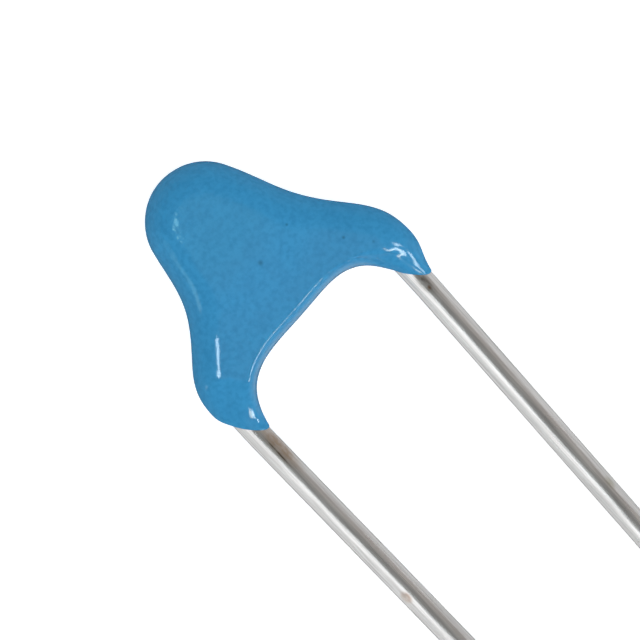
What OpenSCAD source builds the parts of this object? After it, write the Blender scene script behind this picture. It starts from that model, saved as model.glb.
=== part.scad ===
// Radial ceramic disc capacitor, dipped in epoxy, with two kinked wires.
// It lies on its back, the way it rests on a table: the underside of the head
// and the two wire tips touch the plane Z = 0. The wires point along -Y, and the
// origin is under the middle of the whole part.
//
// Each solid is drawn in the component's own frame and laid down at the end:
// X across the wires, Y from the wires' exits up to the head, Z out of the face,
// and the origin midway between the wires where the coating ends on them.

/* [Wires] */
// Diameter of the tinned wire
wire_d = 0.6; // [0.5:0.05:0.7]
// Distance between the wires' centre lines where they leave the coating
pitch = 5.1; // [4.8:0.1:6]
// Straight length of each wire below the coating
lead_length = 25; // [8:1:40]
// Lean of each bare wire towards the other one, in degrees
toe_in = 1.4; // [0.8:0.1:2]
// How far below the coating's nominal end the wires take on that lean
lean_drop = 0.3; // [0.25:0.05:0.6]
// Centre-line radius of that slight bend
lean_r = 3; // [2:0.5:5]
// Chamfer on the cut end of each wire
tip_chamfer = 0.05; // [0.02:0.01:0.1]

/* [Kinks under the coating] */
// Height of the left wire's kink above the end of the coating
kink_left = 0.96; // [0.86:0.05:1.2]
// Height of the right wire's kink above the end of the coating
kink_right = 1.23; // [1.1:0.05:1.5]
// How far the left wire passes from the disc's centre
miss_left = 0; // [0:0.02:0.3]
// How far the right wire passes from the disc's centre
miss_right = 0.33; // [0.1:0.02:0.45]
// Centre-line radius of every kink in the wires
bend_r = 0.6; // [0.5:0.05:0.8]
// Straight wire between the kink and the start of the climb to the disc's face
kink_straight = 0.4; // [0.1:0.05:0.6]
// How far each wire is already level before it reaches the disc's edge
edge_clear = 0.05; // [0.02:0.01:0.15]
// How far each wire runs on past the disc's centre
wire_past = 0.5; // [0.3:0.05:0.7]

/* [Disc] */
// Diameter of the ceramic disc
disc_d = 2.3; // [2.1:0.05:2.7]
// Thickness of the ceramic disc
disc_t = 0.5; // [0.3:0.05:0.8]
// Height of the disc's centre above the end of the coating
disc_rise = 4.13; // [3.8:0.01:5]
// How far the disc sits to the right of the middle between the wires
disc_shift = -0.16; // [-0.3:0.02:0.3]
// Width of the bare ceramic rim round each silver electrode
bare_rim = 0.15; // [0.05:0.05:0.3]
// Thickness of each fired silver electrode
electrode_t = 0.03; // [0.02:0.01:0.06]
// Solder under each wire, between it and the electrode
solder_gap = 0.04; // [0.03:0.01:0.08]
// Radius of each solder dome where it meets the electrode
solder_r = 0.55; // [0.45:0.05:0.58]
// Height of each solder dome above the electrode
solder_h = 0.45; // [0.3:0.05:0.6]

/* [Coating thickness] */
// Coating round the disc's edge
rim_wall = 0.23; // [0.15:0.01:0.4]
// Coating over the wires on the disc's faces
face_wall = 0.12; // [0.1:0.01:0.3]
// Coating over the wires between the kinks and the disc
shoulder_wall = 0.46; // [0.4:0.02:0.6]
// Coating beside the wires between the kinks and the disc
flank_wall = 0.3; // [0.2:0.02:0.36]
// Coating on the outer side of the left leg
leg_wall_left = 0.18; // [0.12:0.01:0.3]
// Coating on the outer side of the right leg
leg_wall_right = 0.28; // [0.12:0.02:0.36]
// Coating at its thin lower edge on the wires
edge_wall = 0.035; // [0.025:0.005:0.06]

/* [Coating shape] */
// Width of the rounding along the outer outline
outer_round = 0.84; // [0.5:0.02:0.9]
// Width of the rounding along the edge between the legs
inner_round = 0.25; // [0.2:0.05:0.45]
// Height of the edge between the legs, midway, above the end of the coating
crotch_rise = 1.09; // [0.9:0.01:1.3]
// Slope of the edge between the legs, in degrees
crotch_slope = 5.4; // [0:0.3:9]
// How far below its kink the left leg is widest
belly_drop_left = 0.14; // [0.1:0.02:0.4]
// How far below its kink the right leg is widest
belly_drop_right = 0.42; // [0.2:0.02:0.5]
// Length over which the left leg grows to its full thickness
leg_run_left = 1.25; // [1:0.05:1.8]
// Length over which the right leg grows to its full thickness
leg_run_right = 1.5; // [1:0.05:1.8]
// Angle above level at which the left flank joins the round head
hug_left = 12; // [0:1:30]
// Angle above level at which the right flank joins the round head
hug_right = 28; // [12:1:35]
// Rise of the coating's edge on the left wire
edge_rise_left = 0.1; // [0.05:0.01:0.25]
// Rise of the coating's edge on the right wire
edge_rise_right = 0.2; // [0.05:0.01:0.3]
// Slant of the coating's edge across the wires, in degrees
edge_skew = 43; // [0:1:46]
// How much further the coating's edge runs down on the front, in degrees
edge_tilt = 27; // [0:1:42]

/* [Hidden] */
$fn = 48;

LEFT = -1;
RIGHT = 1;
sides = [LEFT, RIGHT];

wire_r = wire_d / 2;
disc_r = disc_d / 2;
electrode_r = disc_r - bare_rim;
head_r = disc_r + rim_wall;
edge_r = wire_r + edge_wall;
disc_centre = [disc_shift, disc_rise];

// Heights out of the component's middle plane
electrode_z = disc_t / 2 + electrode_t;
wire_z = electrode_z + solder_gap + wire_r;
head_h = wire_z + wire_r + face_wall;
shoulder_h = wire_r + shoulder_wall;

// A smooth step from 0 to 1 with level ends
function smooth(x) = let (t = min(max(x, 0), 1)) t * t * (3 - 2 * t);
function mix(a, b, t) = a + (b - a) * t;
function unit(v) = v / norm(v);
function turn_left(v) = [-v.y, v.x];

// ---- The wires' route, seen from the front ----

function of_side(side, left, right) = side == LEFT ? left : right;
function kink(side) = [side * pitch / 2, of_side(side, kink_left, kink_right)];
function miss(side) = of_side(side, miss_left, miss_right);
function reach(side) = norm(disc_centre - kink(side));

// Turn of the wire at its kink, so that it passes the disc's centre by its miss
function kink_angle(side) =
    let (to = disc_centre - kink(side))
    atan2(abs(to.x), to.y) - asin(miss(side) / reach(side));

// Way of the wire from the kink to the disc, and the way square to it, outwards
function along(side) = let (a = kink_angle(side)) [-side * sin(a), cos(a)];
function outward(side) = let (a = kink_angle(side)) [side * cos(a), sin(a)];

// Distance from the kink to the wire's nearest point to the disc's centre
function diagonal(side) = sqrt(pow(reach(side), 2) - pow(miss(side), 2));
function half_chord(side) = sqrt(pow(disc_r, 2) - pow(miss(side), 2));
function level_run(side) = half_chord(side) + edge_clear;
function kink_tangent(side) = bend_r * tan(kink_angle(side) / 2);
function climb_run(side) = diagonal(side) - kink_tangent(side) - kink_straight - level_run(side);

// Angle of the two equal bends that lift the wire by wire_z over climb_run
function climb_angle(side) =
    let (rest = wire_z - 2 * bend_r, run = climb_run(side))
    asin(2 * bend_r / norm([run, rest])) + atan2(rest, run);
function climb_straight(side) =
    let (a = climb_angle(side))
    (wire_z - 2 * bend_r * (1 - cos(a))) / sin(a);

// ---- Wire, laid out as one run after another along +Z ----

// Reach of a bend into the straight runs at its ends, and how much thinner it is there
bend_lap = 0.02;
bend_hair = 0.002;

module run(length) {
    cylinder(d = wire_d, h = length);
    translate([0, 0, length]) children();
}

// A bend by an angle towards the direction that roll gives, counted from +X.
// It is a hair thinner than the straight runs and reaches a little way into them.
module bend(angle, roll, radius) {
    lap = bend_lap / radius * 180 / PI;
    rotate([0, 0, roll])
        translate([radius, 0, 0]) {
            rotate([90, 0, 180])
                rotate([0, 0, -lap])
                    rotate_extrude(angle = angle + 2 * lap)
                        translate([radius, 0])
                            circle(r = wire_r - bend_hair);
            rotate([0, angle, 0])
                translate([-radius, 0, 0])
                    rotate([0, 0, -roll])
                        children();
        }
}

// Where the middle of each wire's cut end lies
function tip(side) = [
    side * (pitch / 2 - lean_r * (1 - cos(toe_in)) - lead_length * sin(toe_in)),
    -lean_drop - lean_r * sin(toe_in) - lead_length * cos(toe_in)
];

// The whole wire, from its tip up to its end on the disc's face
module lead(side) {
    inwards = side == RIGHT ? 180 : 0;
    to_face = -90 * side;
    translate(tip(side))
        rotate([-90, 0, -side * toe_in]) {
            cylinder(r1 = wire_r - tip_chamfer, r2 = wire_r, h = tip_chamfer);
            translate([0, 0, tip_chamfer])
                run(lead_length - tip_chamfer)
                    bend(toe_in, inwards, lean_r)
                        run(lean_drop + kink(side).y - kink_tangent(side))
                            bend(kink_angle(side), inwards, bend_r)
                                run(kink_straight)
                                    climb_to_disc(side, to_face);
        }
}

// The S-bend up to the disc's face and the level end of the wire on it
module climb_to_disc(side, to_face)
    bend(climb_angle(side), to_face, bend_r)
        run(climb_straight(side))
            bend(climb_angle(side), -to_face, bend_r)
                run(level_run(side) + wire_past);

// ---- Disc, electrodes and solder ----

module on_disc() translate(disc_centre) children();

module disc_body() on_disc() cylinder(r = disc_r, h = disc_t, center = true);

// The silver layer on the face that the given side's wire is soldered to
module electrode(side)
    on_disc()
        translate([0, 0, side * (disc_t + electrode_t) / 2])
            cylinder(r = electrode_r, h = electrode_t, center = true);

// The dome that the solder fills, round the wire at its nearest point to the centre. It stands on the
// electrode, and its room in the coating begins inside the electrode, so that the two rooms join.
module solder_dome(side, foot_z = electrode_z) {
    dome_r = (pow(solder_r, 2) + pow(solder_h, 2)) / (2 * solder_h);
    foot = kink(side) + along(side) * diagonal(side);
    intersection() {
        translate([foot.x, foot.y, side * (electrode_z + solder_h - dome_r)])
            sphere(r = dome_r);
        translate([foot.x, foot.y, side * (foot_z + solder_h)])
            cube([4 * dome_r, 4 * dome_r, 2 * solder_h], center = true);
    }
}

// The dome less the wire that lies in it
module solder(side)
    difference() {
        solder_dome(side);
        lead(side);
    }

// ---- Coating: rings from the left wire's edge over the head to the right one ----

// Steps of the rings along each side: leg, shoulder, flank and half the head's arc
ring_steps = [7, 9, 8, 11];
// Steps across half a ring: outer rounding, face and inner rounding
round_out_steps = 5;
face_steps = 7;
round_in_steps = 4;
row_steps = round_out_steps + face_steps + round_in_steps;
// Reach of a curve's handles, as a share of the distance between its ends
outer_handle = 0.42;
inner_handle = [0.49, 0.41];
// Sideways lean of the legs' outlines where they leave the wires, left and right
outer_lean = [0.8, 0.18];
inner_lean = [0.2, 0.67];
// How evenly the rings are spread along the inner outline; 0 crowds them at its middle
even_share = 0.5;
// Share of a ring's width that its two roundings may fill
rounds_fit = 0.92;
// Length over which a ring's section turns from a circle into a rounded slab
blend_run = 1.2;
// How steeply each leg starts to thicken on its wire, left and right
leg_slope = [0, 1.2];
// Share of the way from the disc's rim to a kink over which the coating thins
drop_share = 0.55;

function bezier(p, t) =
    let (s = 1 - t)
    s * s * s * p[0] + 3 * s * s * t * p[1] + 3 * s * t * t * p[2] + t * t * t * p[3];
function bezier_way(p, t) =
    let (s = 1 - t)
    unit(s * s * (p[1] - p[0]) + 2 * s * t * (p[2] - p[1]) + t * t * (p[3] - p[2]));
function curve(a, way_a, b, way_b, handle_a, handle_b) =
    let (d = norm(b - a))
    [a, a + unit(way_a) * d * handle_a, b - unit(way_b) * d * handle_b, b];
function outer_curve(a, way_a, b, way_b) = curve(a, way_a, b, way_b, outer_handle, outer_handle);

function hug(side) = of_side(side, hug_left, hug_right);
function leg_run(side) = of_side(side, leg_run_left, leg_run_right);
function lean(side, leans) = of_side(side, leans[0], leans[1]);
function edge_rise(side) = of_side(side, edge_rise_left, edge_rise_right);
// Point of the coating's edge on a wire, x to the right of the wire's centre line
function edge_point(side, x) = [side * pitch / 2 + x, edge_rise(side) - x * tan(edge_skew)];
// Outermost point of a leg, and the middle of the flank above it
function belly(side) = [
    side * (pitch / 2 + wire_r + of_side(side, leg_wall_left, leg_wall_right)),
    kink(side).y - of_side(side, belly_drop_left, belly_drop_right)
];
function mid_flank(side) =
    kink(side) + along(side) * (diagonal(side) - disc_r) / 2
    + outward(side) * (wire_r + flank_wall);
function on_head(side, a) = disc_centre + head_r * [side * cos(a), sin(a)];
function head_way(side, a) = [-side * sin(a), cos(a)];

function outer_curves(side) = [
    outer_curve(edge_point(side, side * edge_r), [side * lean(side, outer_lean), 1], belly(side), [0, 1]),
    outer_curve(belly(side), [0, 1], mid_flank(side), along(side)),
    outer_curve(mid_flank(side), along(side), on_head(side, hug(side)), head_way(side, hug(side)))
];
function inner_curve(side) = curve(
    edge_point(side, -side * edge_r), [-side * lean(side, inner_lean), 1],
    [0, crotch_rise], -side * [cos(crotch_slope), sin(crotch_slope)],
    inner_handle[0], inner_handle[1]
);

// Length of each zone of a side, such that the rings' pace never jumps between two zones
function spans(side) = let (curves = outer_curves(side)) [
    norm(curves[0][3] - curves[0][0]),
    norm(curves[1][3] - curves[1][0]),
    norm(curves[2][3] - curves[2][0]),
    (90 - hug(side)) * PI / 180 * head_r / (3 * outer_handle)
];
function sum(v, n) = n == 0 ? 0 : v[n - 1] + sum(v, n - 1);

// Half-thickness of the coating at a point, thick over the disc and thinner at the kinks
function swell(side, p) =
    let (
        drop = (reach(side) - disc_r) * drop_share,
        d = norm(p - disc_centre) - disc_r
    )
    mix(shoulder_h, head_h, smooth(1 - d / drop));

// Growth of a leg's thickness, from 0 at its edge to 1 after its run
function grown(side, run) =
    let (t = min(run / leg_run(side), 1))
    of_side(side, leg_slope[0], leg_slope[1]) * t * pow(1 - t, 2) + smooth(t);

// A ring's points: outer outline, over the face to the inner outline, back underneath.
// part counts along the side: 0 to 1 the leg, then the shoulder, the flank and the head.
function ring(side, part) =
    let (
        k = min(floor(part), 3),
        t = part - k,
        arc = mix(hug(side), 90, t),
        outer = k < 3 ? bezier(outer_curves(side)[k], t) : on_head(side, arc),
        way = k < 3 ? bezier_way(outer_curves(side)[k], t) : head_way(side, arc),
        lengths = spans(side),
        run = sum(lengths, k) + t * lengths[k],
        far = run / sum(lengths, 4),
        share = mix(1 - pow(1 - far, 3), far, even_share),
        inner = bezier(inner_curve(side), share),
        inner_way = bezier_way(inner_curve(side), share),
        room = rounds_fit * norm(outer - inner) / (outer_round + inner_round),
        narrow = room / pow(1 + pow(room, 4), 0.25),
        outer_in = side * turn_left(way) * outer_round * narrow,
        inner_in = -side * turn_left(inner_way) * inner_round * narrow,
        body = smooth(run / blend_run),
        thick = grown(side, run),
        half = [for (j = [0:row_steps])
            let (
                a = 180 * j / row_steps,
                a_out = 90 * j / round_out_steps,
                a_in = 90 * (row_steps - j) / round_in_steps,
                across = (j - round_out_steps) / face_steps,
                flat = j <= round_out_steps ? outer + outer_in * (1 - cos(a_out))
                    : j >= row_steps - round_in_steps ? inner + inner_in * (1 - cos(a_in))
                    : mix(outer + outer_in, inner + inner_in, across),
                flat_z = j <= round_out_steps ? sin(a_out)
                    : j >= row_steps - round_in_steps ? sin(a_in)
                    : 1,
                p = mix(mix(outer, inner, (1 - cos(a)) / 2), flat, body),
                h = mix(edge_r, swell(side, p), thick)
            )
            [p.x, p.y, mix(sin(a), flat_z, body) * h]
        ],
        tilt = tan(edge_tilt) * pow(1 - body, 2)
    )
    concat(
        [for (p = half) [p.x, p.y - tilt * p.z, p.z]],
        [for (j = [row_steps - 1:-1:1]) let (p = half[j]) [p.x, p.y + tilt * p.z, -p.z]]
    );

parts_up = [for (k = [0:3]) for (i = [0:ring_steps[k] - 1]) k + i / ring_steps[k]];
rings = concat(
    [for (part = parts_up) ring(LEFT, part)],
    [ring(LEFT, 4)],
    [for (i = [len(parts_up) - 1:-1:0]) ring(RIGHT, parts_up[i])]
);
coating_points = [for (r = rings) each r];

module coating_body() {
    n = 2 * row_steps;
    last = (len(rings) - 1) * n;
    polyhedron(
        points = coating_points,
        faces = concat(
            [[for (j = [0:n - 1]) j]],
            [for (i = [0:len(rings) - 2]) for (j = [0:n - 1])
                let (a = i * n + j, b = i * n + (j + 1) % n)
                each [[a, a + n, b], [b, a + n, b + n]]
            ],
            [[for (j = [n - 1:-1:0]) last + j]]
        ),
        convexity = 6
    );
}

// ---- How the part lies ----

// Slope of the line from the wires' tips to the underside, which both touch
tip_y = tip(RIGHT).y;
droop = max([for (p = coating_points) atan2(-wire_r - p.z, p.y - tip_y)]);
lift = wire_r * cos(droop) - tip_y * sin(droop);
middle = [
    (max([for (p = coating_points) p.x]) + min([for (p = coating_points) p.x])) / 2,
    (max([for (p = coating_points) p.y]) + tip_y) / 2
];

module laid_down()
    translate([-middle.x, -middle.y, lift])
        rotate([droop, 0, 0])
            children();

// ---- Nodes ----

module coating()
    color("#3E8CBD")
        laid_down()
            difference() {
                coating_body();
                disc_body();
                on_disc()
                    cylinder(r = electrode_r, h = 2 * electrode_z, center = true);
                for (side = sides) {
                    solder_dome(side, foot_z = electrode_z - electrode_t / 2);
                    lead(side);
                }
            }

module ceramic_disc() color("#B9A88C") laid_down() disc_body();
module electrode_front() color("#D9D6CF") laid_down() electrode(RIGHT);
module electrode_back() color("#D9D6CF") laid_down() electrode(LEFT);
module solder_front() color("#A9ADB0") laid_down() solder(RIGHT);
module solder_back() color("#A9ADB0") laid_down() solder(LEFT);
module lead_left() color("#C9C8C4") laid_down() lead(LEFT);
module lead_right() color("#C9C8C4") laid_down() lead(RIGHT);

coating();
ceramic_disc();
electrode_front();
electrode_back();
solder_front();
solder_back();
lead_left();
lead_right();
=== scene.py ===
"""Ceramic disc capacitor: a dipped blue coating on two tinned wires, lying on its back on a pale floor.

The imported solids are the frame. The coating and the two wires are rebuilt in finer detail and stand for
their solids; the sealed pieces inside keep their solids and get the finish of their material.

Sizes in the classes are in millimetres, in the component's own frame, as on a maker's drawing: X across
the wires, Y from the coating's end up to the head, Z out of the face. Posture.place lays them down in
the row's frame, in metres.
"""

import logging
import math
from dataclasses import dataclass, field
from enum import Enum
from typing import Any

import bpy
import numpy as np
from bpy.types import Material, NodeSocket, NodeTree, Object
from mathutils import Euler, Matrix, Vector


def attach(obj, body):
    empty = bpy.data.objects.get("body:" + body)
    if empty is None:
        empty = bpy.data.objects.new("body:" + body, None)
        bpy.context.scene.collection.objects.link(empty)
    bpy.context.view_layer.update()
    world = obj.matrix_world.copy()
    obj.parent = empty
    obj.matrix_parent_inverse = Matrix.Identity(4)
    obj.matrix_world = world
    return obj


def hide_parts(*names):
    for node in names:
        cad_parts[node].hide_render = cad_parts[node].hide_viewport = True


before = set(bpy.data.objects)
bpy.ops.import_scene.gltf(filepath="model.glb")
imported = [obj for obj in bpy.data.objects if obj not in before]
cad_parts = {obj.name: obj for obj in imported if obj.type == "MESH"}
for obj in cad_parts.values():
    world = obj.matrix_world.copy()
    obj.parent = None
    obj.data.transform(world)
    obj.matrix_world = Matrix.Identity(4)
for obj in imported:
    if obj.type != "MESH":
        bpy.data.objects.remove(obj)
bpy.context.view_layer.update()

LOG = logging.getLogger("capacitor")
MM = 0.001
WHITE = (1.0, 1.0, 1.0, 1.0)
Array = np.ndarray
Place = tuple[float, float, float]


class Side(Enum):
    """Which of the two wires, seen from the front with the head up."""

    LEFT = -1
    RIGHT = 1


class Zone(Enum):
    """A stretch of the coating between two rings, from a wire's edge to the middle of the head."""

    LEG = 0
    SHOULDER = 1
    FLANK = 2
    HEAD = 3


# ------------ helpers


def each_side(left: float, right: float) -> Any:
    """Return a dataclass field that holds one value for each wire."""
    return field(default_factory=lambda: {Side.LEFT: left, Side.RIGHT: right})


def linear(code: str) -> tuple[float, float, float, float]:
    """Turn an sRGB hex colour into Blender's linear colour.

    Args:
        code: The colour as "#RRGGBB".

    Returns:
        Linear red, green and blue, and an alpha of 1.
    """
    parts = [int(code[i : i + 2], 16) / 255 for i in (1, 3, 5)]
    return (*[c / 12.92 if c <= 0.04045 else ((c + 0.055) / 1.055) ** 2.4 for c in parts], 1.0)


def add_node(tree: NodeTree, kind: str, inputs: dict[Any, Any] | None = None,
             **settings: Any) -> Any:
    """Add a node, set it up and link it.

    Args:
        tree: The node tree that gets the node.
        kind: Blender's name of the node's type.
        inputs: Values or output sockets for the node's inputs, by name or number.
        **settings: The node's own properties.

    Returns:
        The new node.
    """
    made = tree.nodes.new(kind)
    for name, value in settings.items():
        setattr(made, name, value)
    for key, value in (inputs or {}).items():
        if isinstance(value, NodeSocket):
            tree.links.new(value, made.inputs[key])
        else:
            made.inputs[key].default_value = value
    return made


def smooth_step(x: Array | float) -> Array | float:
    """Return a smooth step from 0 to 1 with level ends."""
    t = np.clip(x, 0.0, 1.0)
    return t * t * (3 - 2 * t)


def mix(a: Any, b: Any, t: Any) -> Any:
    """Return the value t of the way from a to b."""
    return a + (b - a) * t


def unit(v: Array) -> Array:
    """Return v at length 1."""
    return v / np.linalg.norm(v)


def bezier(points: Array, t: float) -> Array:
    """Return the point at t on a cubic curve through its four control points."""
    s = 1 - t
    return s**3 * points[0] + 3 * s * s * t * points[1] + 3 * s * t * t * points[2] + t**3 * points[3]


def bezier_way(points: Array, t: float) -> Array:
    """Return the direction of a cubic curve.

    Args:
        points: The curve's four control points.
        t: Where on the curve, from 0 to 1.

    Returns:
        The direction, at length 1.
    """
    s = 1 - t
    steps = points[1:] - points[:-1]
    return unit(s * s * steps[0] + 2 * s * t * steps[1] + t * t * steps[2])


def mesh_object(name: str, points: Array, faces: list[tuple[int, ...]]) -> Object:
    """Make a smooth-shaded mesh object at the origin.

    Args:
        name: The object's name.
        points: Its vertices, in metres in the row's frame.
        faces: Its faces, as vertex numbers.

    Returns:
        The object, linked to the scene.
    """
    mesh = bpy.data.meshes.new(name)
    mesh.from_pydata(np.asarray(points).tolist(), [], faces)
    mesh.update()
    mesh.shade_smooth()
    made = bpy.data.objects.new(name, mesh)
    bpy.context.scene.collection.objects.link(made)
    return made


def grow(base: Object, tree: NodeTree, sizes: dict[str, Any]) -> Object:
    """Run a Geometry Nodes tree on an object and keep the result as its plain mesh.

    Args:
        base: The object that the tree starts from.
        tree: The tree, whose inputs have the names in sizes.
        sizes: The value of each named input.

    Returns:
        The same object, with the grown mesh and no modifier.
    """
    modifier = base.modifiers.new("grow", "NODES")
    modifier.node_group = tree
    sockets = {i.name: i.identifier for i in tree.interface.items_tree if i.in_out == "INPUT"}
    for name, value in sizes.items():
        modifier[sockets[name]] = value
    graph = bpy.context.evaluated_depsgraph_get()
    grown = bpy.data.meshes.new_from_object(base.evaluated_get(graph), depsgraph=graph)
    base.modifiers.remove(modifier)
    old, base.data = base.data, grown
    bpy.data.meshes.remove(old)
    grown.name = base.name
    return base


def new_tree(name: str, sizes: dict[str, Any]) -> tuple[NodeTree, Any, Any]:
    """Start a Geometry Nodes tree with a geometry input and output and named sizes.

    Args:
        name: The tree's name.
        sizes: The value of each named input, which gives the socket its type.

    Returns:
        The tree, its Group Input node and its Group Output node.
    """
    tree = bpy.data.node_groups.new(name, "GeometryNodeTree")
    tree.interface.new_socket("Geometry", in_out="INPUT", socket_type="NodeSocketGeometry")
    kinds = {float: "Float", int: "Int", tuple: "Vector", Material: "Material"}
    for size, value in sizes.items():
        tree.interface.new_socket(size, in_out="INPUT", socket_type=f"NodeSocket{kinds[type(value)]}")
    tree.interface.new_socket("Geometry", in_out="OUTPUT", socket_type="NodeSocketGeometry")
    return tree, add_node(tree, "NodeGroupInput"), add_node(tree, "NodeGroupOutput")


def waver_skin(tree: NodeTree, shape: Any, waves: Any, swing: Any, dent: Any = 0.0) -> Any:
    """Make a smooth surface slightly uneven.

    Args:
        tree: The node tree.
        shape: The geometry's socket.
        waves: How many waves there are in a metre.
        swing: How far apart the highest and the lowest place can be, in metres.
        dent: How deep the surface is pressed in, in metres.

    Returns:
        The uneven geometry's socket.
    """
    place = add_node(tree, "GeometryNodeInputPosition").outputs[0]
    noise = add_node(tree, "ShaderNodeTexNoise", {"Vector": place, "Scale": waves, "Detail": 1.0})
    centred = add_node(tree, "ShaderNodeMath", {0: noise.outputs["Fac"], 1: 0.5}, operation="SUBTRACT")
    height = add_node(tree, "ShaderNodeMath", {0: centred.outputs[0], 1: swing}, operation="MULTIPLY")
    height = add_node(tree, "ShaderNodeMath", {0: height.outputs[0], 1: dent}, operation="SUBTRACT")
    normal = add_node(tree, "GeometryNodeInputNormal").outputs[0]
    push = add_node(tree, "ShaderNodeVectorMath", {0: normal, "Scale": height.outputs[0]}, operation="SCALE")
    moved = add_node(tree, "GeometryNodeSetPosition", {"Geometry": shape, "Offset": push.outputs[0]})
    return add_node(tree, "GeometryNodeSetShadeSmooth", {"Geometry": moved.outputs[0]}).outputs[0]


def close_tree(tree: NodeTree, given: Any, out: Any, shape: Any) -> None:
    """End a Geometry Nodes tree with real instances and the finish that is given to it.

    Args:
        tree: The node tree.
        given: Its Group Input node.
        out: Its Group Output node.
        shape: The finished geometry's socket.
    """
    real = add_node(tree, "GeometryNodeRealizeInstances", {0: shape})
    done = add_node(tree, "GeometryNodeSetMaterial", {"Geometry": real.outputs[0],
                    "Material": given.outputs["Finish"]})
    tree.links.new(done.outputs[0], out.inputs[0])


# ------------ the part's posture


@dataclass(frozen=True)
class Posture:
    """How the part lies: on the underside of its head and on the wires' cut ends."""

    droop_deg: float = 1.49275
    lift: float = 0.960691
    middle: tuple[float, float] = (0.05, -9.92792)

    def place(self, points: Array) -> Array:
        """Lay points down in the row's frame.

        Args:
            points: Points in the component's frame, in millimetres.

        Returns:
            The points in the row's frame, in metres.
        """
        p = np.atleast_2d(np.asarray(points, float))
        s, c = math.sin(math.radians(self.droop_deg)), math.cos(math.radians(self.droop_deg))
        laid = np.stack([
            p[:, 0] - self.middle[0],
            p[:, 1] * c - p[:, 2] * s - self.middle[1],
            p[:, 1] * s + p[:, 2] * c + self.lift,
        ], axis=1)
        return laid * MM

    def spot(self, x: float, y: float, z: float) -> Vector:
        """Return one point, laid down in the row's frame, in metres."""
        return Vector(self.place([[x, y, z]])[0])


# ------------ finishes


@dataclass(frozen=True)
class Ramp:
    """A change from one level to another over a range of a value, held at its ends."""

    low: float
    high: float
    to_low: float = 0.0
    to_high: float = 1.0

    def inputs(self, value: Any, scale: float = 1.0) -> dict[str, Any]:
        """Return a Map Range node's inputs for this; scale is MM where the range is in millimetres."""
        return {"Value": value, "From Min": self.low * scale, "From Max": self.high * scale,
                "To Min": self.to_low, "To Max": self.to_high}


@dataclass(frozen=True)
class Speck:
    """A pigment speck under the gloss, in the component's frame."""

    at: Place
    radius: float


@dataclass(frozen=True)
class Stain:
    """A stain on the tin: its middle and half-sizes in the component's frame, its colour and its strength."""

    at: Place
    reach: Place
    colour: str
    strength: float


@dataclass(frozen=True)
class Finish:
    """A material, named for what it is and how its surface was made."""

    name: str

    def start(self) -> tuple[Material, NodeTree, Any, Any]:
        """Start a material.

        Returns:
            The material, its tree, its Principled shader and the Object coordinates' socket.
        """
        material = bpy.data.materials.new(self.name)
        material.use_nodes = True
        tree = material.node_tree
        shader = tree.nodes["Principled BSDF"]
        place = add_node(tree, "ShaderNodeTexCoord").outputs["Object"]
        return material, tree, shader, place

    @staticmethod
    def grains(tree: NodeTree, place: Any, size: float, detail: float = 2.0,
               stretch: Place = (1, 1, 1)) -> Any:
        """Spread grains of a real size over the surface.

        Args:
            tree: The material's tree.
            place: The coordinates' socket.
            size: Size of a grain, in millimetres.
            detail: Levels of finer grain.
            stretch: How many times longer a grain is along each axis.

        Returns:
            A socket that wavers round a half.
        """
        scale = tuple(1 / (size * MM * s) for s in stretch)
        spread = add_node(tree, "ShaderNodeMapping", {"Vector": place, "Scale": scale})
        return add_node(tree, "ShaderNodeTexNoise", {"Vector": spread.outputs[0], "Scale": 1.0,
                        "Detail": detail}).outputs["Fac"]

    @staticmethod
    def spot(tree: NodeTree, place: Any, centre: Vector, reach: Place, edge: float) -> Any:
        """Mark a soft-edged spot round a place on the surface.

        Args:
            tree: The material's tree.
            place: The coordinates' socket.
            centre: The spot's middle, in metres in the row's frame.
            reach: Its half-sizes along X, Y and Z, in millimetres.
            edge: Where it starts to fade, as a share of its reach.

        Returns:
            A socket that is 1 inside the spot and 0 outside.
        """
        scale = [1 / (r * MM) for r in reach]
        shift = tuple(-c * s for c, s in zip(centre, scale))
        moved = add_node(tree, "ShaderNodeMapping", {"Vector": place, "Scale": scale, "Location": shift})
        length = add_node(tree, "ShaderNodeVectorMath", {0: moved.outputs[0]}, operation="LENGTH")
        return add_node(tree, "ShaderNodeMapRange", Ramp(edge, 1.0, 1.0, 0.0).inputs(length.outputs["Value"]),
                        interpolation_type="SMOOTHSTEP").outputs[0]


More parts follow.
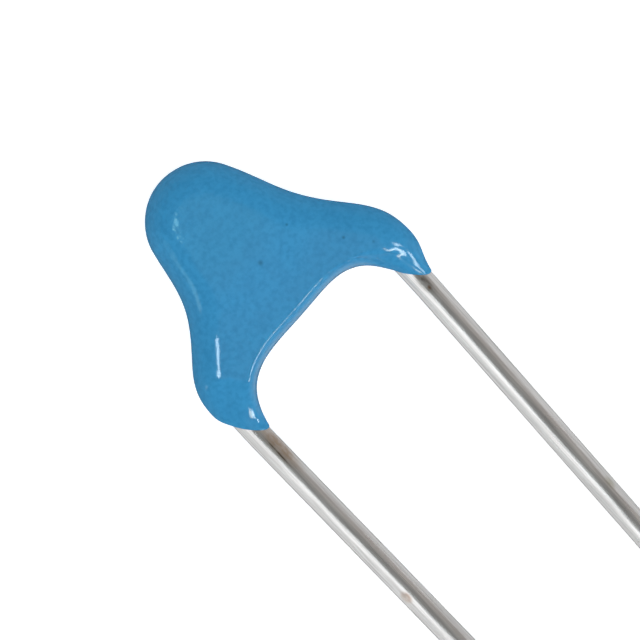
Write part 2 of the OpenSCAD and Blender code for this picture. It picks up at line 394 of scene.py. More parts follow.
@dataclass(frozen=True)
class DippedEpoxy(Finish):
    """Pigmented epoxy, dipped and baked: glossy and closed, with a faint orange peel and a few filler specks.

    The ramps from the gloss of the legs to the satin of the head run along Y in the row's frame, in
    millimetres, where the wires' exits are at 9.9 and the top of the head is at 15.4.
    """

    name: str = "dipped_blue_epoxy"
    body: str = "#42A0D6"
    deep: str = "#3E9BD1"
    filler: str = "#358EC4"
    speck: str = "#2D79A6"
    head_sheen: str = "#C4F4E4"
    ior: float = 1.42
    detail: float = 3.0
    drift_size: float = 0.5
    drift: Ramp = Ramp(0.3, 0.7)
    filler_size: float = 0.12
    filler_share: Ramp = Ramp(0.4, 0.7, 0.0, 0.7)
    speck_depth: float = 6.0
    drained: Ramp = Ramp(12.2, 13.4)
    roughness: Ramp = Ramp(12.2, 13.4, 0.12, 0.18)
    specular: Ramp = Ramp(12.2, 13.4, 0.5, 0.42)
    uneven: Ramp = Ramp(0.0, 1.0, -0.02, 0.02)
    peel_size: float = 0.35
    peel_depth: float = 0.005
    pebble_size: float = 0.14
    pebbled: Ramp = Ramp(13.4, 14.1, 0.8, 4.0)
    calm: Ramp = Ramp(10.8, 11.3, 0.3, 1.0)
    posture: Posture = Posture()
    specks: tuple[Speck, ...] = (
        Speck((0.134, 2.618, 0.98), 0.09), Speck((1.154, 2.852, 0.9), 0.05),
        Speck((1.906, 1.758, 0.75), 0.06), Speck((2.345, 1.227, 0.6), 0.06),
    )

    def make(self) -> Material:
        """Build the material.

        Returns:
            The material.
        """
        material, tree, shader, place = self.start()
        # The pigment settles unevenly, so the blue drifts a little over half a millimetre
        noise = self.grains(tree, place, self.drift_size, self.detail)
        drift = add_node(tree, "ShaderNodeMapRange", self.drift.inputs(noise)).outputs[0]
        # Filler grains just under the gloss; they are drawn coarser than the real 10 micrometre grit to show
        noise = self.grains(tree, place, self.filler_size, self.detail)
        filler = add_node(tree, "ShaderNodeMapRange", self.filler_share.inputs(noise)).outputs[0]
        layers = [(drift, self.deep), (filler, self.filler)]
        for speck in self.specks:
            reach = (speck.radius, speck.radius, self.speck_depth * speck.radius)
            layers.append((self.spot(tree, place, self.posture.spot(*speck.at), reach, 0.0), self.speck))
        colour = linear(self.body)
        for share, code in layers:
            colour = add_node(tree, "ShaderNodeMix", {0: share, 6: colour, 7: linear(code)},
                              data_type="RGBA").outputs[2]
        tree.links.new(colour, shader.inputs["Base Color"])
        # The head sets first while the resin drains from it, so it is less glossy than the legs
        along = add_node(tree, "ShaderNodeSeparateXYZ", {0: place}).outputs[1]
        ramps = (self.roughness, self.specular, self.drained, self.pebbled, self.calm)
        satin, sheen, drained, pebbled, calm = [
            add_node(tree, "ShaderNodeMapRange", ramp.inputs(along, MM)).outputs[0] for ramp in ramps]
        uneven = add_node(tree, "ShaderNodeMapRange", self.uneven.inputs(drift)).outputs[0]
        rough = add_node(tree, "ShaderNodeMath", {0: satin, 1: uneven}, operation="ADD").outputs[0]
        tree.links.new(rough, shader.inputs["Roughness"])
        shader.inputs["IOR"].default_value = self.ior
        tree.links.new(sheen, shader.inputs["Specular IOR Level"])
        tint = add_node(tree, "ShaderNodeMix", {0: drained, 6: WHITE, 7: linear(self.head_sheen)},
                        data_type="RGBA").outputs[2]
        tree.links.new(tint, shader.inputs["Specular Tint"])
        # Its skin is also pebbled more finely, where it wrinkled while it set
        peel, pebbles = [self.grains(tree, place, size) for size in (self.peel_size, self.pebble_size)]
        pebbles = add_node(tree, "ShaderNodeMath", {0: pebbles, 1: pebbled}, operation="MULTIPLY").outputs[0]
        height = add_node(tree, "ShaderNodeMath", {0: pebbles, 1: peel}, operation="ADD").outputs[0]
        # Drawn tight over the wires, the skin is smoother at the two exits
        height = add_node(tree, "ShaderNodeMath", {0: height, 1: calm}, operation="MULTIPLY").outputs[0]
        bump = add_node(tree, "ShaderNodeBump", {"Height": height, "Distance": self.peel_depth * MM})
        tree.links.new(bump.outputs[0], shader.inputs["Normal"])
        return material


@dataclass(frozen=True)
class TinnedWire(Finish):
    """Steel wire, copper-clad and hot-tinned: a satin metal with draw lines along it and a few stains."""

    name: str = "hot_tinned_wire"
    tin: str = "#D6D4D3"
    dull: str = "#B9B7B6"
    line_size: float = 0.035
    line_stretch: Place = (1, 60, 1)
    line_share: Ramp = Ramp(0.35, 0.7)
    line_depth: float = 0.002
    rough_size: float = 0.4
    rough_stretch: Place = (1, 4, 1)
    roughness: Ramp = Ramp(0.3, 0.7, 0.26, 0.32)
    stain_edge: float = 0.25
    stain_size: float = 0.09
    stain_detail: float = 3.0
    stain_stretch: Place = (1, 2, 1)
    stain_share: Ramp = Ramp(0.35, 0.6, 0.55, 1.0)
    stain_roughness: float = 0.1
    posture: Posture = Posture()
    stains: tuple[Stain, ...] = ()

    def make(self) -> Material:
        """Build the material.

        Returns:
            The material.
        """
        material, tree, shader, place = self.start()
        # Draw lines run the length of the wire; they are drawn coarser than the real, hair-fine ones to show
        lines = self.grains(tree, place, self.line_size, stretch=self.line_stretch)
        share = add_node(tree, "ShaderNodeMapRange", self.line_share.inputs(lines))
        colour = add_node(tree, "ShaderNodeMix", {0: share.outputs[0], 6: linear(self.tin),
                          7: linear(self.dull)}, data_type="RGBA").outputs[2]
        noise = self.grains(tree, place, self.rough_size, stretch=self.rough_stretch)
        rough = add_node(tree, "ShaderNodeMapRange", self.roughness.inputs(noise)).outputs[0]
        # Flux and handling leave brownish stains on the tin, which are ragged and duller than the metal
        noise = self.grains(tree, place, self.stain_size, self.stain_detail, self.stain_stretch)
        ragged = add_node(tree, "ShaderNodeMapRange", self.stain_share.inputs(noise)).outputs[0]
        for stain in self.stains:
            share = self.spot(tree, place, self.posture.spot(*stain.at), stain.reach, self.stain_edge)
            for part in (ragged, stain.strength):
                share = add_node(tree, "ShaderNodeMath", {0: share, 1: part}, operation="MULTIPLY").outputs[0]
            colour = add_node(tree, "ShaderNodeMix", {0: share, 6: colour, 7: linear(stain.colour)},
                              data_type="RGBA").outputs[2]
            rough = add_node(tree, "ShaderNodeMath", {0: share, 1: self.stain_roughness, 2: rough},
                             operation="MULTIPLY_ADD").outputs[0]
        tree.links.new(colour, shader.inputs["Base Color"])
        tree.links.new(rough, shader.inputs["Roughness"])
        shader.inputs["Metallic"].default_value = 1.0
        bump = add_node(tree, "ShaderNodeBump", {"Height": lines, "Distance": self.line_depth * MM})
        tree.links.new(bump.outputs[0], shader.inputs["Normal"])
        return material


@dataclass(frozen=True)
class SealedPiece(Finish):
    """A piece inside the coating: fired ceramic, fired silver or solder, with its own grain."""

    light: str
    dark: str
    size: float
    metallic: float
    roughness: float
    depth: float
    detail: float = 4.0
    share: Ramp = Ramp(0.35, 0.65)

    def make(self) -> Material:
        """Build the material.

        Returns:
            The material.
        """
        material, tree, shader, place = self.start()
        # Grains of two tones tell pressed powder and cast metal from plain paint
        noise = self.grains(tree, place, self.size, self.detail)
        share = add_node(tree, "ShaderNodeMapRange", self.share.inputs(noise))
        colour = add_node(tree, "ShaderNodeMix", {0: share.outputs[0], 6: linear(self.light),
                          7: linear(self.dark)}, data_type="RGBA")
        tree.links.new(colour.outputs[2], shader.inputs["Base Color"])
        shader.inputs["Metallic"].default_value = self.metallic
        shader.inputs["Roughness"].default_value = self.roughness
        bump = add_node(tree, "ShaderNodeBump", {"Height": noise, "Distance": self.depth * MM})
        tree.links.new(bump.outputs[0], shader.inputs["Normal"])
        return material


@dataclass(frozen=True)
class PaperFloor(Finish):
    """White seamless paper, evenly lit from below its surface, so that it stays pale up to the part."""

    name: str = "white_paper_floor"
    white: float = 0.85
    roughness: float = 0.9
    glow: float = 0.7

    def make(self) -> Material:
        """Build the material.

        Returns:
            The material.
        """
        material, _, shader, _ = self.start()
        shader.inputs["Base Color"].default_value = (self.white, self.white, self.white, 1)
        shader.inputs["Roughness"].default_value = self.roughness
        shader.inputs["Specular IOR Level"].default_value = 0.0
        shader.inputs["Emission Color"].default_value = WHITE
        shader.inputs["Emission Strength"].default_value = self.glow
        return material


# ------------ the wires' route


@dataclass(frozen=True)
class Layout:
    """Sizes that the wires, the disc and the coating share."""

    wire_r: float = 0.3
    pitch: float = 5.1
    lead_length: float = 25.0
    toe_in_deg: float = 1.4
    lean_drop: float = 0.3
    lean_r: float = 3.0
    tip_chamfer: float = 0.05
    kinks: dict[Side, float] = each_side(0.96, 1.23)
    misses: dict[Side, float] = each_side(0.0, 0.33)
    bend_r: float = 0.6
    kink_straight: float = 0.4
    edge_clear: float = 0.05
    wire_past: float = 0.5
    bend_steps: int = 4
    disc_r: float = 1.15
    disc_centre: tuple[float, float] = (-0.16, 4.13)
    disc_t: float = 0.5
    electrode_t: float = 0.03
    solder_gap: float = 0.04

    @property
    def wire_z(self) -> float:
        """Return how far a wire on the disc lies from the middle plane."""
        return self.disc_t / 2 + self.electrode_t + self.solder_gap + self.wire_r

    def kink(self, side: Side) -> Array:
        """Return where a wire's kink is."""
        return np.array([side.value * self.pitch / 2, self.kinks[side]])

    def reach(self, side: Side) -> float:
        """Return the distance from a kink to the disc's centre."""
        return float(np.linalg.norm(np.array(self.disc_centre) - self.kink(side)))

    def kink_angle(self, side: Side) -> float:
        """Return the turn of a wire at its kink, in radians."""
        to = np.array(self.disc_centre) - self.kink(side)
        return math.atan2(abs(to[0]), to[1]) - math.asin(self.misses[side] / self.reach(side))

    def along(self, side: Side) -> Array:
        """Return a wire's way from its kink to the disc."""
        a = self.kink_angle(side)
        return np.array([-side.value * math.sin(a), math.cos(a)])

    def outward(self, side: Side) -> Array:
        """Return the way square to that, outwards."""
        a = self.kink_angle(side)
        return np.array([side.value * math.cos(a), math.sin(a)])

    def diagonal(self, side: Side) -> float:
        """Return the distance from a kink to the wire's nearest point to the disc's centre."""
        return math.sqrt(self.reach(side) ** 2 - self.misses[side] ** 2)

    def route(self, side: Side, step: float) -> Array:
        """Trace a wire's centre line from its cut end to its end on the disc.

        Args:
            side: The wire.
            step: Greatest distance between points, in millimetres.

        Returns:
            Points in the component's frame, in millimetres.
        """
        toe = math.radians(self.toe_in_deg)
        turn = self.kink_angle(side)
        level, corner = self.level_run(side), self.bend_r * math.tan(turn / 2)
        # From the leg's plane up to the disc's face: two equal bends with a straight slope between them
        run = self.diagonal(side) - corner - self.kink_straight - level
        rest = self.wire_z - 2 * self.bend_r
        climb = math.asin(2 * self.bend_r / math.hypot(run, rest)) + math.atan2(rest, run)
        slope = (self.wire_z - 2 * self.bend_r * (1 - math.cos(climb))) / math.sin(climb)
        heading = np.array([side.value * math.sin(toe), math.cos(toe), 0.0])
        aside = self.lean_r * (1 - math.cos(toe)) + self.lead_length * math.sin(toe)
        below = self.lean_drop + self.lean_r * math.sin(toe) + self.lead_length * math.cos(toe)
        start = np.array([side.value * (self.pitch / 2 - aside), -below, 0.0])
        points = [start, start + heading * self.tip_chamfer]
        # The right wire goes to the front face and the left one to the back
        to_face, inwards = side.value * np.array([0.0, 0.0, 1.0]), np.array([-side.value, 0.0, 0.0])
        bends = [(toe, self.lean_r, inwards), (turn, self.bend_r, inwards),
                 (climb, self.bend_r, to_face), (climb, self.bend_r, -to_face)]
        runs = [self.lead_length - self.tip_chamfer, self.lean_drop + self.kinks[side] - corner,
                self.kink_straight, slope, level + self.wire_past]
        for i, length in enumerate(runs):
            count = math.ceil(length / step)
            begin = points[-1]
            points += [begin + heading * length * k / count for k in range(1, count + 1)]
            if i == len(bends):
                break
            angle, radius, towards = bends[i]
            inward = unit(towards - heading * float(towards @ heading))
            centre, first = points[-1] + inward * radius, heading
            count = max(self.bend_steps, math.ceil(angle * radius / step))
            for a in (angle * k / count for k in range(1, count + 1)):
                points.append(centre - inward * radius * math.cos(a) + first * radius * math.sin(a))
            heading = first * math.cos(angle) + inward * math.sin(angle)
        return np.array(points)

    def level_run(self, side: Side) -> float:
        """Return the level stretch of a wire between the disc's edge and its nearest point to the centre."""
        return math.sqrt(self.disc_r**2 - self.misses[side] ** 2) + self.edge_clear


# ------------ the coating


@dataclass(frozen=True)
class Coating:
    """The dipped epoxy body: rings from one wire's edge over the head to the other wire's edge."""

    layout: Layout
    posture: Posture
    rim_wall: float = 0.23
    face_wall: float = 0.12
    shoulder_wall: float = 0.46
    leg_walls: dict[Side, float] = each_side(0.18, 0.28)
    edge_wall: float = 0.035
    flank_wall: float = 0.3
    outer_round: float = 0.84
    inner_round: float = 0.25
    drop_share: float = 0.55
    leg_runs: dict[Side, float] = each_side(1.25, 1.5)
    leg_slopes: dict[Side, float] = each_side(0.0, 1.2)
    rounds_fit: float = 0.92
    crotch_rise: float = 1.09
    crotch_slope_deg: float = 5.4
    belly_drops: dict[Side, float] = each_side(0.14, 0.42)
    hugs_deg: dict[Side, float] = each_side(12.0, 28.0)
    edge_rises: dict[Side, float] = each_side(0.1, 0.2)
    edge_skew_deg: float = 43.0
    edge_tilt_deg: float = 27.0
    outer_handle: float = 0.42
    inner_handles: tuple[float, float] = (0.49, 0.41)
    outer_leans: dict[Side, float] = each_side(0.8, 0.18)
    inner_leans: dict[Side, float] = each_side(0.2, 0.67)
    even_share: float = 0.5
    blend_run: float = 1.2
    ring_steps: dict[Zone, int] = field(default_factory=lambda: {
        Zone.LEG: 44, Zone.SHOULDER: 34, Zone.FLANK: 36, Zone.HEAD: 56})
    across_steps: tuple[int, int, int] = (14, 18, 12)
    # The rounded edge: how far each ring lies beyond the first one, and its radius
    lip: tuple[tuple[float, float], ...] = ((0.008, 0.3345), (0.018, 0.329), (0.027, 0.319), (0.033, 0.301))
    ripple: float = 0.006
    ripple_grain: float = 0.9

    @property
    def head_r(self) -> float:
        """Return the radius of the head's round outline."""
        return self.layout.disc_r + self.rim_wall

    @property
    def head_h(self) -> float:
        """Return the half-thickness of the head, over the wire on the disc."""
        return self.layout.wire_z + self.layout.wire_r + self.face_wall

    @property
    def shoulder_h(self) -> float:
        """Return the half-thickness of the shoulders."""
        return self.layout.wire_r + self.shoulder_wall

    @property
    def edge_r(self) -> float:
        """Return the radius of the coating's edge on a wire."""
        return self.layout.wire_r + self.edge_wall

    @staticmethod
    def curve(a: Array, way_a: Array, b: Array, way_b: Array, handles: tuple[float, float]) -> Array:
        """Return the control points of a curve from a to b with the given ways at its ends."""
        d = float(np.linalg.norm(b - a))
        return np.array([a, a + unit(way_a) * d * handles[0], b - unit(way_b) * d * handles[1], b])

    def edge_point(self, side: Side, x: float) -> Array:
        """Return a point of the coating's edge, x to the right of the wire's centre line."""
        rise = self.edge_rises[side] - x * math.tan(math.radians(self.edge_skew_deg))
        return np.array([side.value * self.layout.pitch / 2 + x, rise])

    def on_head(self, side: Side, degrees: float) -> Array:
        """Return a point of the head's round outline."""
        a = math.radians(degrees)
        return self.layout.disc_centre + self.head_r * np.array([side.value * math.cos(a), math.sin(a)])

    @staticmethod
    def head_way(side: Side, degrees: float) -> Array:
        """Return the outline's way at that point."""
        a = math.radians(degrees)
        return np.array([-side.value * math.sin(a), math.cos(a)])

    def outer_curves(self, side: Side) -> list[Array]:
        """Work out the outer outline.

        Args:
            side: The wire that the outline belongs to.

        Returns:
            Its curves along the leg, the shoulder and the flank.
        """
        plan = self.layout
        kink, along = plan.kink(side), plan.along(side)
        up = np.array([0.0, 1.0])
        belly_x = side.value * (plan.pitch / 2 + plan.wire_r + self.leg_walls[side])
        belly = np.array([belly_x, kink[1] - self.belly_drops[side]])
        middle = (kink + along * (plan.diagonal(side) - plan.disc_r) / 2
                  + plan.outward(side) * (plan.wire_r + self.flank_wall))
        edge = self.edge_point(side, side.value * self.edge_r)
        hug = self.hugs_deg[side]
        handles = (self.outer_handle,) * 2
        return [
            self.curve(edge, np.array([side.value * self.outer_leans[side], 1.0]), belly, up, handles),
            self.curve(belly, up, middle, along, handles),
            self.curve(middle, along, self.on_head(side, hug), self.head_way(side, hug), handles),
        ]

    def inner_curve(self, side: Side) -> Array:
        """Work out the inner outline.

        Args:
            side: The wire that the outline belongs to.

        Returns:
            Its curve, from the wire to the middle between the legs.
        """
        slope = math.radians(self.crotch_slope_deg)
        way = -side.value * np.array([math.cos(slope), math.sin(slope)])
        start = self.edge_point(side, -side.value * self.edge_r)
        lean = np.array([-side.value * self.inner_leans[side], 1.0])
        return self.curve(start, lean, np.array([0.0, self.crotch_rise]), way, self.inner_handles)

    def spans(self, side: Side) -> list[float]:
        """Work out how much of the outer outline each zone takes, such that the rings' pace never jumps.

        Args:
            side: The wire that the outline belongs to.

        Returns:
            Each zone's chord, in millimetres. The head's one is that of a curve with the arc's pace.
        """
        chords = [float(np.linalg.norm(c[3] - c[0])) for c in self.outer_curves(side)]
        arc = math.radians(90 - self.hugs_deg[side]) * self.head_r
        return [*chords, arc / (3 * self.outer_handle)]

    def swell(self, side: Side, p: Array) -> float:
        """Work out the coating's half-thickness, which is thick over the disc and thin at the kinks.

        Args:
            side: The wire that the point belongs to.
            p: The point, seen from the front.

        Returns:
            The half-thickness, in millimetres.
        """
        drop = (self.layout.reach(side) - self.layout.disc_r) * self.drop_share
        d = np.linalg.norm(p - np.array(self.layout.disc_centre)) - self.layout.disc_r
        return float(mix(self.shoulder_h, self.head_h, smooth_step(1 - d / drop)))

    def ring(self, side: Side, part: float) -> Array:
        """Trace one ring: the outer outline, over the face to the inner one, and back underneath.

        Args:
            side: The wire that the ring belongs to.
            part: Where along the side it is, in zones from the wire's edge.

        Returns:
            The ring's points in the component's frame, in millimetres.
        """
        out_n, face_n, in_n = self.across_steps
        n = out_n + face_n + in_n
        zone = min(int(part), Zone.HEAD.value)
        t = part - zone
        if zone < Zone.HEAD.value:
            control = self.outer_curves(side)[zone]
            outer, way = bezier(control, t), bezier_way(control, t)
        else:
            arc = mix(self.hugs_deg[side], 90.0, t)
            outer, way = self.on_head(side, arc), self.head_way(side, arc)
        inner_control = self.inner_curve(side)
        spans = self.spans(side)
        run = sum(spans[:zone]) + t * spans[zone]
        # The inner outline is short, so it is walked fast along the leg and slowly near the middle
        far = run / sum(spans)
        share = mix(1 - (1 - far) ** 3, far, self.even_share)
        inner, inner_way = bezier(inner_control, share), bezier_way(inner_control, share)
        # Where a ring is too narrow for its two rounds, both shrink, with a soft change
        room = self.rounds_fit * float(np.linalg.norm(outer - inner)) / (self.outer_round + self.inner_round)
        narrow = room / (1 + room**4) ** 0.25
        outer_in = side.value * np.array([-way[1], way[0]]) * self.outer_round * narrow
        inner_in = -side.value * np.array([-inner_way[1], inner_way[0]]) * self.inner_round * narrow
        body = float(smooth_step(run / self.blend_run))
        tilt = math.tan(math.radians(self.edge_tilt_deg)) * (1 - body) ** 2
        up_leg = min(run / self.leg_runs[side], 1.0)
        lifted = self.leg_slopes[side] * up_leg * (1 - up_leg) ** 2 + float(smooth_step(up_leg))
        half = []
        for j in range(n + 1):
            a = math.pi * j / n
            if j <= out_n:
                turn = math.pi / 2 * j / out_n
                flat, flat_z = outer + outer_in * (1 - math.cos(turn)), math.sin(turn)
            elif j >= n - in_n:
                turn = math.pi / 2 * (n - j) / in_n
                flat, flat_z = inner + inner_in * (1 - math.cos(turn)), math.sin(turn)
            else:
                flat, flat_z = mix(outer + outer_in, inner + inner_in, (j - out_n) / face_n), 1.0
            p = mix(mix(outer, inner, (1 - math.cos(a)) / 2), flat, body)
            h = mix(self.edge_r, self.swell(side, p), lifted)
            half.append([p[0], p[1], mix(math.sin(a), flat_z, body) * h])
        over = [[x, y - tilt * z, z] for x, y, z in half]
        under = [[x, y + tilt * z, -z] for x, y, z in half[n - 1 : 0 : -1]]
        return np.array(over + under)

    def lip_rings(self, side: Side) -> list[Array]:
        """Round the thin edge of the coating down onto its wire.

        Args:
            side: The wire.

        Returns:
            Rings from the innermost one up to the coating's first ring, without that ring.
        """
        first = self.ring(side, 0.0)
        axis_x = side.value * self.layout.pitch / 2
        made = []
        for drop, radius in self.lip:
            r = first.copy()
            r[:, 0] = axis_x + (first[:, 0] - axis_x) * radius / self.edge_r
            r[:, 2] = first[:, 2] * radius / self.edge_r
            r[:, 1] -= drop
            made.append(r)
        return made[::-1]

    def build(self) -> Object:
        """Build the coating's mesh from its rings.

        Returns:
            The coating.
        """
        parts = [zone.value + i / n for zone, n in self.ring_steps.items() for i in range(n)]
        left = [self.ring(Side.LEFT, p) for p in parts]
        right = [self.ring(Side.RIGHT, p) for p in reversed(parts)]
        rings = (self.lip_rings(Side.LEFT) + left + [self.ring(Side.LEFT, float(len(Zone)))] + right
                 + self.lip_rings(Side.RIGHT)[::-1])
        n = len(rings[0])
        last = (len(rings) - 1) * n
        faces: list[tuple[int, ...]] = [tuple(range(n - 1, -1, -1)), tuple(range(last, last + n))]
        for i in range(len(rings) - 1):
            for j in range(n):
                a, b = i * n + j, i * n + (j + 1) % n
                faces.append((a, b, b + n, a + n))
        return mesh_object("coating_body", self.posture.place(np.concatenate(rings)), faces)

    def dress(self, coating: Object, finish: Material) -> Object:
        """Give the coating the faint waves of a dip, and its finish.

        Args:
            coating: The built coating.
            finish: Its material.

        Returns:
            The dressed coating.
        """
        sizes = {"Ripple": 2 * self.ripple * MM, "Grain": self.ripple_grain * MM, "Finish": finish}
        tree, given, out = new_tree("dip_unevenness", sizes)
        scale = add_node(tree, "ShaderNodeMath", {0: 1.0, 1: given.outputs["Grain"]}, operation="DIVIDE")
        skin = waver_skin(tree, given.outputs["Geometry"], scale.outputs[0], given.outputs["Ripple"])
        close_tree(tree, given, out, skin)
        return grow(coating, tree, sizes)


# ------------ the wires


@dataclass(frozen=True)
class Dent:
    """A small dent in a wire: its middle in the component's frame, its radius and its depth."""

    at: Place = (0.0, 0.0, 0.0)
    radius: float = 0.12
    depth: float = 0.0


@dataclass(frozen=True)
class Lead:
    """One tinned wire: a round section drawn along its route, with a chamfered end and maybe a dent."""

    layout: Layout
    posture: Posture
    side: Side
    step: float = 0.08
    sections: int = 56
    waver: float = 0.003
    waves_per_mm: float = 0.9
    crease_deg: float = 35.0
    dent: Dent = Dent()

    def build(self) -> Object:
        """Build the wire's centre line, with its thickness at each point.

        Returns:
            An object whose mesh is the centre line.
        """
        points = self.layout.route(self.side, self.step)
        mesh = bpy.data.meshes.new("lead")
        pairs = [(i, i + 1) for i in range(len(points) - 1)]
        mesh.from_pydata(self.posture.place(points).tolist(), pairs, [])
        girth = mesh.attributes.new("girth", "FLOAT", "POINT")
        thick = [1.0] * len(points)
        thick[0] = 1 - self.layout.tip_chamfer / self.layout.wire_r
        girth.data.foreach_set("value", thick)
        made = bpy.data.objects.new(f"wire_{self.side.name.lower()}", mesh)
        bpy.context.scene.collection.objects.link(made)
        return made

    def dress(self, wire: Object, finish: Material) -> Object:
        """Draw the round section along the centre line and give it its finish.

        Args:
            wire: The built centre line.
            finish: The material.

        Returns:
            The wire.
        """
        sizes = {"Radius": self.layout.wire_r * MM, "Sections": self.sections, "Waver": 2 * self.waver * MM,
                 "Waves": self.waves_per_mm / MM, "Crease": math.radians(self.crease_deg),
                 "Dent at": tuple(self.posture.spot(*self.dent.at)), "Dent radius": self.dent.radius * MM,
                 "Dent depth": self.dent.depth * MM, "Finish": finish}
        tree, given, out = new_tree("drawn_wire", sizes)
        line = add_node(tree, "GeometryNodeMeshToCurve", {0: given.outputs["Geometry"]})
        profile = add_node(tree, "GeometryNodeCurvePrimitiveCircle", {"Resolution": given.outputs["Sections"],
                           "Radius": given.outputs["Radius"]})
        girth = add_node(tree, "GeometryNodeInputNamedAttribute", {"Name": "girth"}, data_type="FLOAT")
        tube = add_node(tree, "GeometryNodeCurveToMesh", {"Curve": line.outputs[0],
                        "Profile Curve": profile.outputs[0], "Scale": girth.outputs[0], "Fill Caps": True})
        place = add_node(tree, "GeometryNodeInputPosition").outputs[0]
        apart = add_node(tree, "ShaderNodeVectorMath", {0: place, 1: given.outputs["Dent at"]},
                         operation="DISTANCE").outputs["Value"]
        near = add_node(tree, "ShaderNodeMapRange", {"Value": apart, "From Min": 0.0,
                        "From Max": given.outputs["Dent radius"], "To Min": given.outputs["Dent depth"],
                        "To Max": 0.0}, interpolation_type="SMOOTHSTEP").outputs[0]
        # The dip in tin leaves the wire very slightly uneven, in waves longer than the wire is thick
        skin = waver_skin(tree, tube.outputs[0], given.outputs["Waves"], given.outputs["Waver"], near)
        angle = add_node(tree, "GeometryNodeInputMeshEdgeAngle").outputs[0]
        sharp = add_node(tree, "FunctionNodeCompare", {0: angle, 1: given.outputs["Crease"]},
                         operation="GREATER_THAN")
        crisp = add_node(tree, "GeometryNodeSetShadeSmooth", {"Geometry": skin, "Selection": sharp.outputs[0],
                         "Shade Smooth": False}, domain="EDGE")
        close_tree(tree, given, out, crisp.outputs[0])
        return grow(wire, tree, sizes)


# ------------ the sealed pieces


@dataclass(frozen=True)
class SealedParts:
    """The disc, its electrodes and the solder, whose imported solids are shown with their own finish."""

    ceramic: SealedPiece = SealedPiece("fired_barium_titanate", "#C2B196", "#A8967C", 0.06, 0.0, 0.6, 0.002)
    silver: SealedPiece = SealedPiece("fired_silver", "#DEDCD8", "#C9C7C2", 0.03, 1.0, 0.42, 0.002)
    solder: SealedPiece = SealedPiece("soft_solder", "#B9BCBF", "#A2A5A9", 0.2, 1.0, 0.3, 0.004)

    def dress(self) -> list[str]:
        """Give each sealed solid its material.

        Returns:
            The nodes that were dressed.
        """
        looks = {self.ceramic: ["ceramic_disc"], self.silver: ["electrode_front", "electrode_back"],
                 self.solder: ["solder_front", "solder_back"]}
        done = []
        for finish, nodes in looks.items():
            material = finish.make()
            for node in nodes:
                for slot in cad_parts[node].material_slots:
                    slot.material = material
                done.append(node)
        return done


# ------------ floor, light and camera


@dataclass(frozen=True)
class Lamp:
    """A round area lamp that points at the component, with its sizes in metres."""

    name: str
    direction: Place
    distance: float
    size: float
    radiance: float
    tint: str = "#FFFFFF"
    glossy: bool = True
    diffuse: bool = False

    def hang(self, target: Vector) -> Object:
        """Add the lamp to the scene.

        Args:
            target: The point it faces, in metres.

        Returns:
            The lamp's object.
        """
        light = bpy.data.lights.new(self.name, "AREA")
        light.shape = "DISK"
        light.size = self.size
        # A flat lamp's power is its radiance times pi times its area
        light.energy = self.radiance * math.pi * math.pi * self.size**2 / 4
        light.color = linear(self.tint)[:3]
        made = bpy.data.objects.new(self.name, light)
        way = Vector(self.direction).normalized()
        made.location = target + way * self.distance
        made.rotation_euler = way.to_track_quat("Z", "Y").to_euler()
        made.visible_glossy = self.glossy
        made.visible_diffuse = self.diffuse
        bpy.context.scene.collection.objects.link(made)
        return made


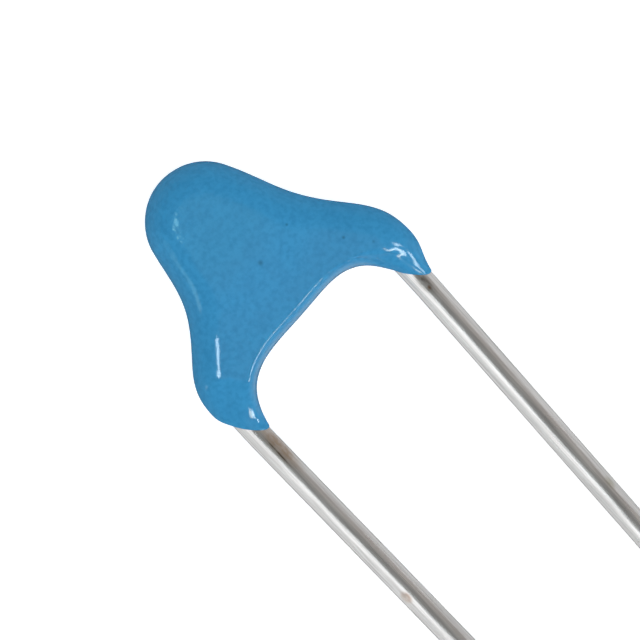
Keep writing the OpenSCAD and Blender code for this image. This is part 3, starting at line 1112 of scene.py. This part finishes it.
@dataclass(frozen=True)
class Studio:
    """A white floor, a soft room with one broad lamp above and a few windows, and a camera straight overhead.

    The windows show only as highlights. The wire lamps stand in for what a wire mirrors along its length:
    a strip light, the room behind it and the pale floor beside it.
    Lengths are in metres, apart from the view's width and from the aim, which is in the component's frame.
    """

    posture: Posture
    aim: Place = (0.2425, 0.7254, 0.0)
    aim_height: float = 0.001
    camera_turn_deg: float = -42.694
    camera_height: float = 0.5
    view_mm: float = 14.545
    sensor_mm: float = 36.0
    clip: tuple[float, float] = (0.01, 10.0)
    floor_size: float = 1.6
    room_tint: str = "#EAF6FA"
    low_glow: Ramp = Ramp(0.0, 0.5, 0.7, 0.13)
    front: Ramp = Ramp(-0.5, -0.2, 0.7, 0.13)
    back: Ramp = Ramp(0.06, 0.26, 0.13, 0.1)
    left: Ramp = Ramp(-0.75, -0.35, 0.12, 0.1)
    lamps: tuple[Lamp, ...] = (
        Lamp("overhead", (-0.02, -0.14, 1), 0.55, 0.6, 2.9, glossy=False, diffuse=True),
        Lamp("window_left", (-0.3828, 0.2582, 0.887), 0.6, 0.115, 18.5, "#E2F4FA"),
        Lamp("window_right", (0.3290, -0.7391, 0.5878), 0.6, 0.158, 20.0, "#EEFAF8"),
        Lamp("window_far", (0.6351, -0.5329, 0.5592), 0.6, 0.1261, 14.0, "#EEFAF8"),
        Lamp("window_mid", (0.1260, -0.7144, 0.6884), 0.6, 0.1388, 14.5, "#FFF2CE"),
        Lamp("window_side", (-0.985, 0.14, 0.08), 0.6, 0.14, 2.6, "#DDF8F6"),
    )
    wire_lamps: tuple[Lamp, ...] = (
        Lamp("wire_haze", (0.454, 0, 0.891), 0.45, 0.9, 0.15, "#FFF4EC"),
        Lamp("wire_glow", (0.82, 0, 0.572), 0.45, 0.42, 0.2, "#FFEDE2"),
        Lamp("wire_back", (0, 0.93, 0.37), 0.45, 0.5, 0.6),
        Lamp("wire_front", (0, -0.93, 0.37), 0.45, 0.5, 0.4),
        Lamp("wire_strip", (-0.67, 0, 0.743), 0.45, 0.36, 1.5),
        Lamp("wire_floor_left", (-0.966, 0, -0.259), 0.45, 0.8, 0.85),
        Lamp("wire_floor_right", (0.94, 0, -0.342), 0.45, 0.76, 0.72),
    )

    @property
    def target(self) -> Vector:
        """Return the point that the camera and the lamps face, in metres."""
        aim = self.posture.spot(*self.aim)
        return Vector((aim.x, aim.y, self.aim_height))

    def build_floor(self) -> Object:
        """Lay the floor.

        Returns:
            The floor.
        """
        corners = np.array([[-1, -1, 0], [1, -1, 0], [1, 1, 0], [-1, 1, 0]]) * self.floor_size / 2
        floor = mesh_object("floor", corners, [(0, 1, 2, 3)])
        floor.data.materials.append(PaperFloor().make())
        floor.visible_glossy = False
        return floor

    def build_world(self) -> None:
        """Set the soft surroundings, which the glossy surfaces mirror."""
        world = bpy.data.worlds.new("soft_room")
        world.use_nodes = True
        tree = world.node_tree
        way = add_node(tree, "ShaderNodeTexCoord").outputs["Generated"]
        x, y, z = add_node(tree, "ShaderNodeSeparateXYZ", {0: way}).outputs
        # Pale low down in front of the legs, dim behind the head and beside it: the rim stays deep blue
        level: Any = None
        for value, ramp, end in ((z, self.low_glow, ""), (y, self.front, "To Min"), (y, self.back, "To Min"),
                                 (x, self.left, "To Max")):
            inputs = ramp.inputs(value) | ({end: level} if end else {})
            level = add_node(tree, "ShaderNodeMapRange", inputs, interpolation_type="SMOOTHSTEP").outputs[0]
        sky = tree.nodes["Background"]
        sky.inputs["Color"].default_value = linear(self.room_tint)
        tree.links.new(level, sky.inputs["Strength"])
        bpy.context.scene.world = world

    def build_lamps(self, wires: list[Object]) -> list[Object]:
        """Hang the lamps.

        Args:
            wires: The pieces that alone are lit by the wire lamps.

        Returns:
            The lamps.
        """
        only = bpy.data.collections.new("wires_only")
        for wire in wires:
            only.objects.link(wire)
        made = [lamp.hang(self.target) for lamp in self.lamps + self.wire_lamps]
        for hung in made[len(self.lamps) :]:
            hung.light_linking.receiver_collection = only
            hung.light_linking.blocker_collection = only
        return made

    def build_camera(self) -> Object:
        """Set the camera straight above, turned so that the wires run down to the right.

        Returns:
            The camera.
        """
        data = bpy.data.cameras.new("camera")
        data.sensor_width = self.sensor_mm
        data.lens = self.sensor_mm * self.camera_height / (self.view_mm * MM)
        data.clip_start, data.clip_end = self.clip
        camera = bpy.data.objects.new("camera", data)
        camera.location = self.target + Vector((0, 0, self.camera_height))
        camera.rotation_euler = Euler((0, 0, math.radians(self.camera_turn_deg)))
        bpy.context.scene.collection.objects.link(camera)
        bpy.context.scene.camera = camera
        return camera


# ------------ the whole


STAINS: dict[Side, tuple[Stain, ...]] = {
    Side.LEFT: (
        Stain((-2.38, -0.75, 0.22), (0.24, 0.95, 0.5), "#A29182", 1.0),
        Stain((-2.5, -0.85, 0.28), (0.03, 0.6, 0.2), "#4C4138", 0.9),
        Stain((-2.59, -5.24, 0.25), (0.14, 0.22, 0.3), "#B5A296", 1.0),
    ),
    Side.RIGHT: (
        Stain((2.56, -0.25, 0.3), (0.16, 0.5, 0.3), "#5E564E", 0.8),
        Stain((2.57, -0.4, 0.3), (0.06, 0.08, 0.3), "#6E5138", 0.75),
        Stain((2.58, -6.45, 0.28), (0.12, 0.25, 0.25), "#8F8A6C", 0.5),
    ),
}
DENTS: dict[Side, Dent] = {Side.LEFT: Dent((-2.59, -5.24, 0.25), depth=0.02), Side.RIGHT: Dent()}


def main() -> None:
    """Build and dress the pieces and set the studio."""
    logging.basicConfig(level=logging.INFO, format="%(name)s: %(message)s")
    layout, posture = Layout(), Posture()

    coating = Coating(layout, posture)
    body = coating.dress(coating.build(), DippedEpoxy().make())
    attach(body, "root")
    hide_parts("coating")
    LOG.info("%s: %d faces", body.name, len(body.data.polygons))

    wires = []
    for side in Side:
        lead = Lead(layout, posture, side, dent=DENTS[side])
        wire = lead.dress(lead.build(), TinnedWire(stains=STAINS[side]).make())
        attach(wire, "root")
        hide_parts(f"lead_{side.name.lower()}")
        wires.append(wire)
        LOG.info("%s: %d faces", wire.name, len(wire.data.polygons))

    for node in SealedParts().dress():
        LOG.info("%s: dressed", node)

    studio = Studio(posture)
    studio.build_floor()
    studio.build_world()
    studio.build_lamps(wires)
    studio.build_camera()
    bpy.context.scene.view_settings.view_transform = "Standard"


if __name__ == "__main__":
    main()
